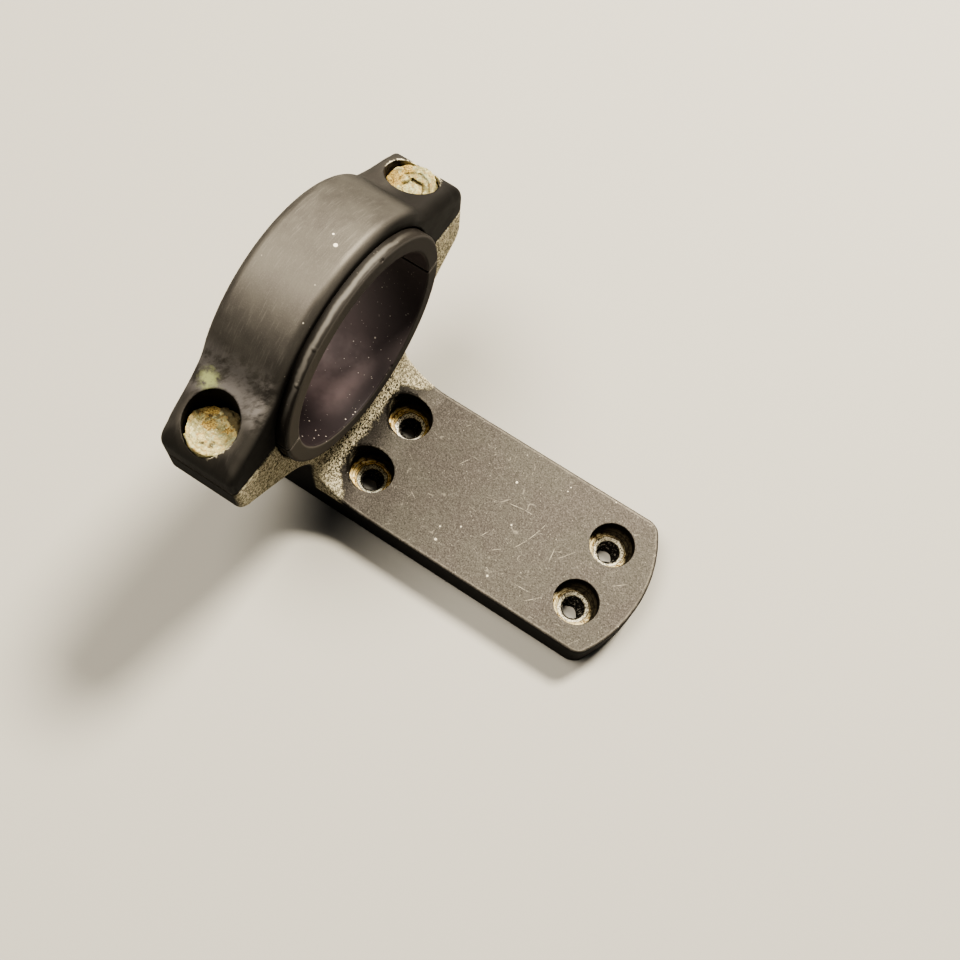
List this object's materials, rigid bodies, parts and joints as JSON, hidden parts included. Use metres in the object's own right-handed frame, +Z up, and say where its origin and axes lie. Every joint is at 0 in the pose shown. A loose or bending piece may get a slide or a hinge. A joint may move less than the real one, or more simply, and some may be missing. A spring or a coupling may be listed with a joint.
{
  "type": "finder scope ring bracket",
  "caption": "Split clamp ring on a flat screw-down foot, with a bolted cap and a two-part reducer sleeve; it holds a small finder scope beside a telescope.",
  "frame": {"origin": "centre of the foot's four screw holes, on the foot's underside", "axes": "+X along the scope's axis towards the foot's rounded end, +Y across the foot, +Z up away from the surface the foot is screwed to"},
  "size_m": [0.0533, 0.045, 0.0456],
  "materials": {
    "bracket_finish": "worn satin black anodising, rubbed to bare metal on the neck",
    "cap_finish": "satin black anodising",
    "sleeve_finish": "matte black anodising",
    "screw_steel": "weathered steel with crust and rust stains"
  },
  "bodies": {
    "bracket": {"foot_bracket": "bracket_finish"},
    "cap": {"clamp_cap": "cap_finish"},
    "upper_sleeve": {"sleeve_upper": "sleeve_finish"},
    "lower_sleeve": {"sleeve_lower": "sleeve_finish"},
    "left_screw": {"clamp_screw_left": "screw_steel"},
    "right_screw": {"clamp_screw_right": "screw_steel"}
  },
  "joints": [
    {"name": "cap_lift", "type": "slide", "parent": "bracket", "child": "cap", "axis": [0, 0, 1], "range_m": [0, 0.006]},
    {"name": "left_screw_turn", "type": "hinge", "parent": "cap", "child": "left_screw", "pos_m": [-0.0254, -0.0187, 0.0306], "axis": [0, 0, 1], "range_deg": [0, 4320]},
    {"name": "right_screw_turn", "type": "hinge", "parent": "cap", "child": "right_screw", "pos_m": [-0.0254, 0.0187, 0.0306], "axis": [0, 0, 1], "range_deg": [0, 4320]},
    {"name": "upper_sleeve_slide", "type": "slide", "parent": "cap", "child": "upper_sleeve", "axis": [1, 0, 0], "range_m": [-0.011, 0.011]},
    {"name": "lower_sleeve_slide", "type": "slide", "parent": "bracket", "child": "lower_sleeve", "axis": [1, 0, 0], "range_m": [-0.011, 0.011]}
  ],
  "couplings": [
    {"joint": "left_screw_turn", "follows": "cap_lift", "rad_per_m": 12566},
    {"joint": "right_screw_turn", "follows": "cap_lift", "rad_per_m": 12566}
  ]
}
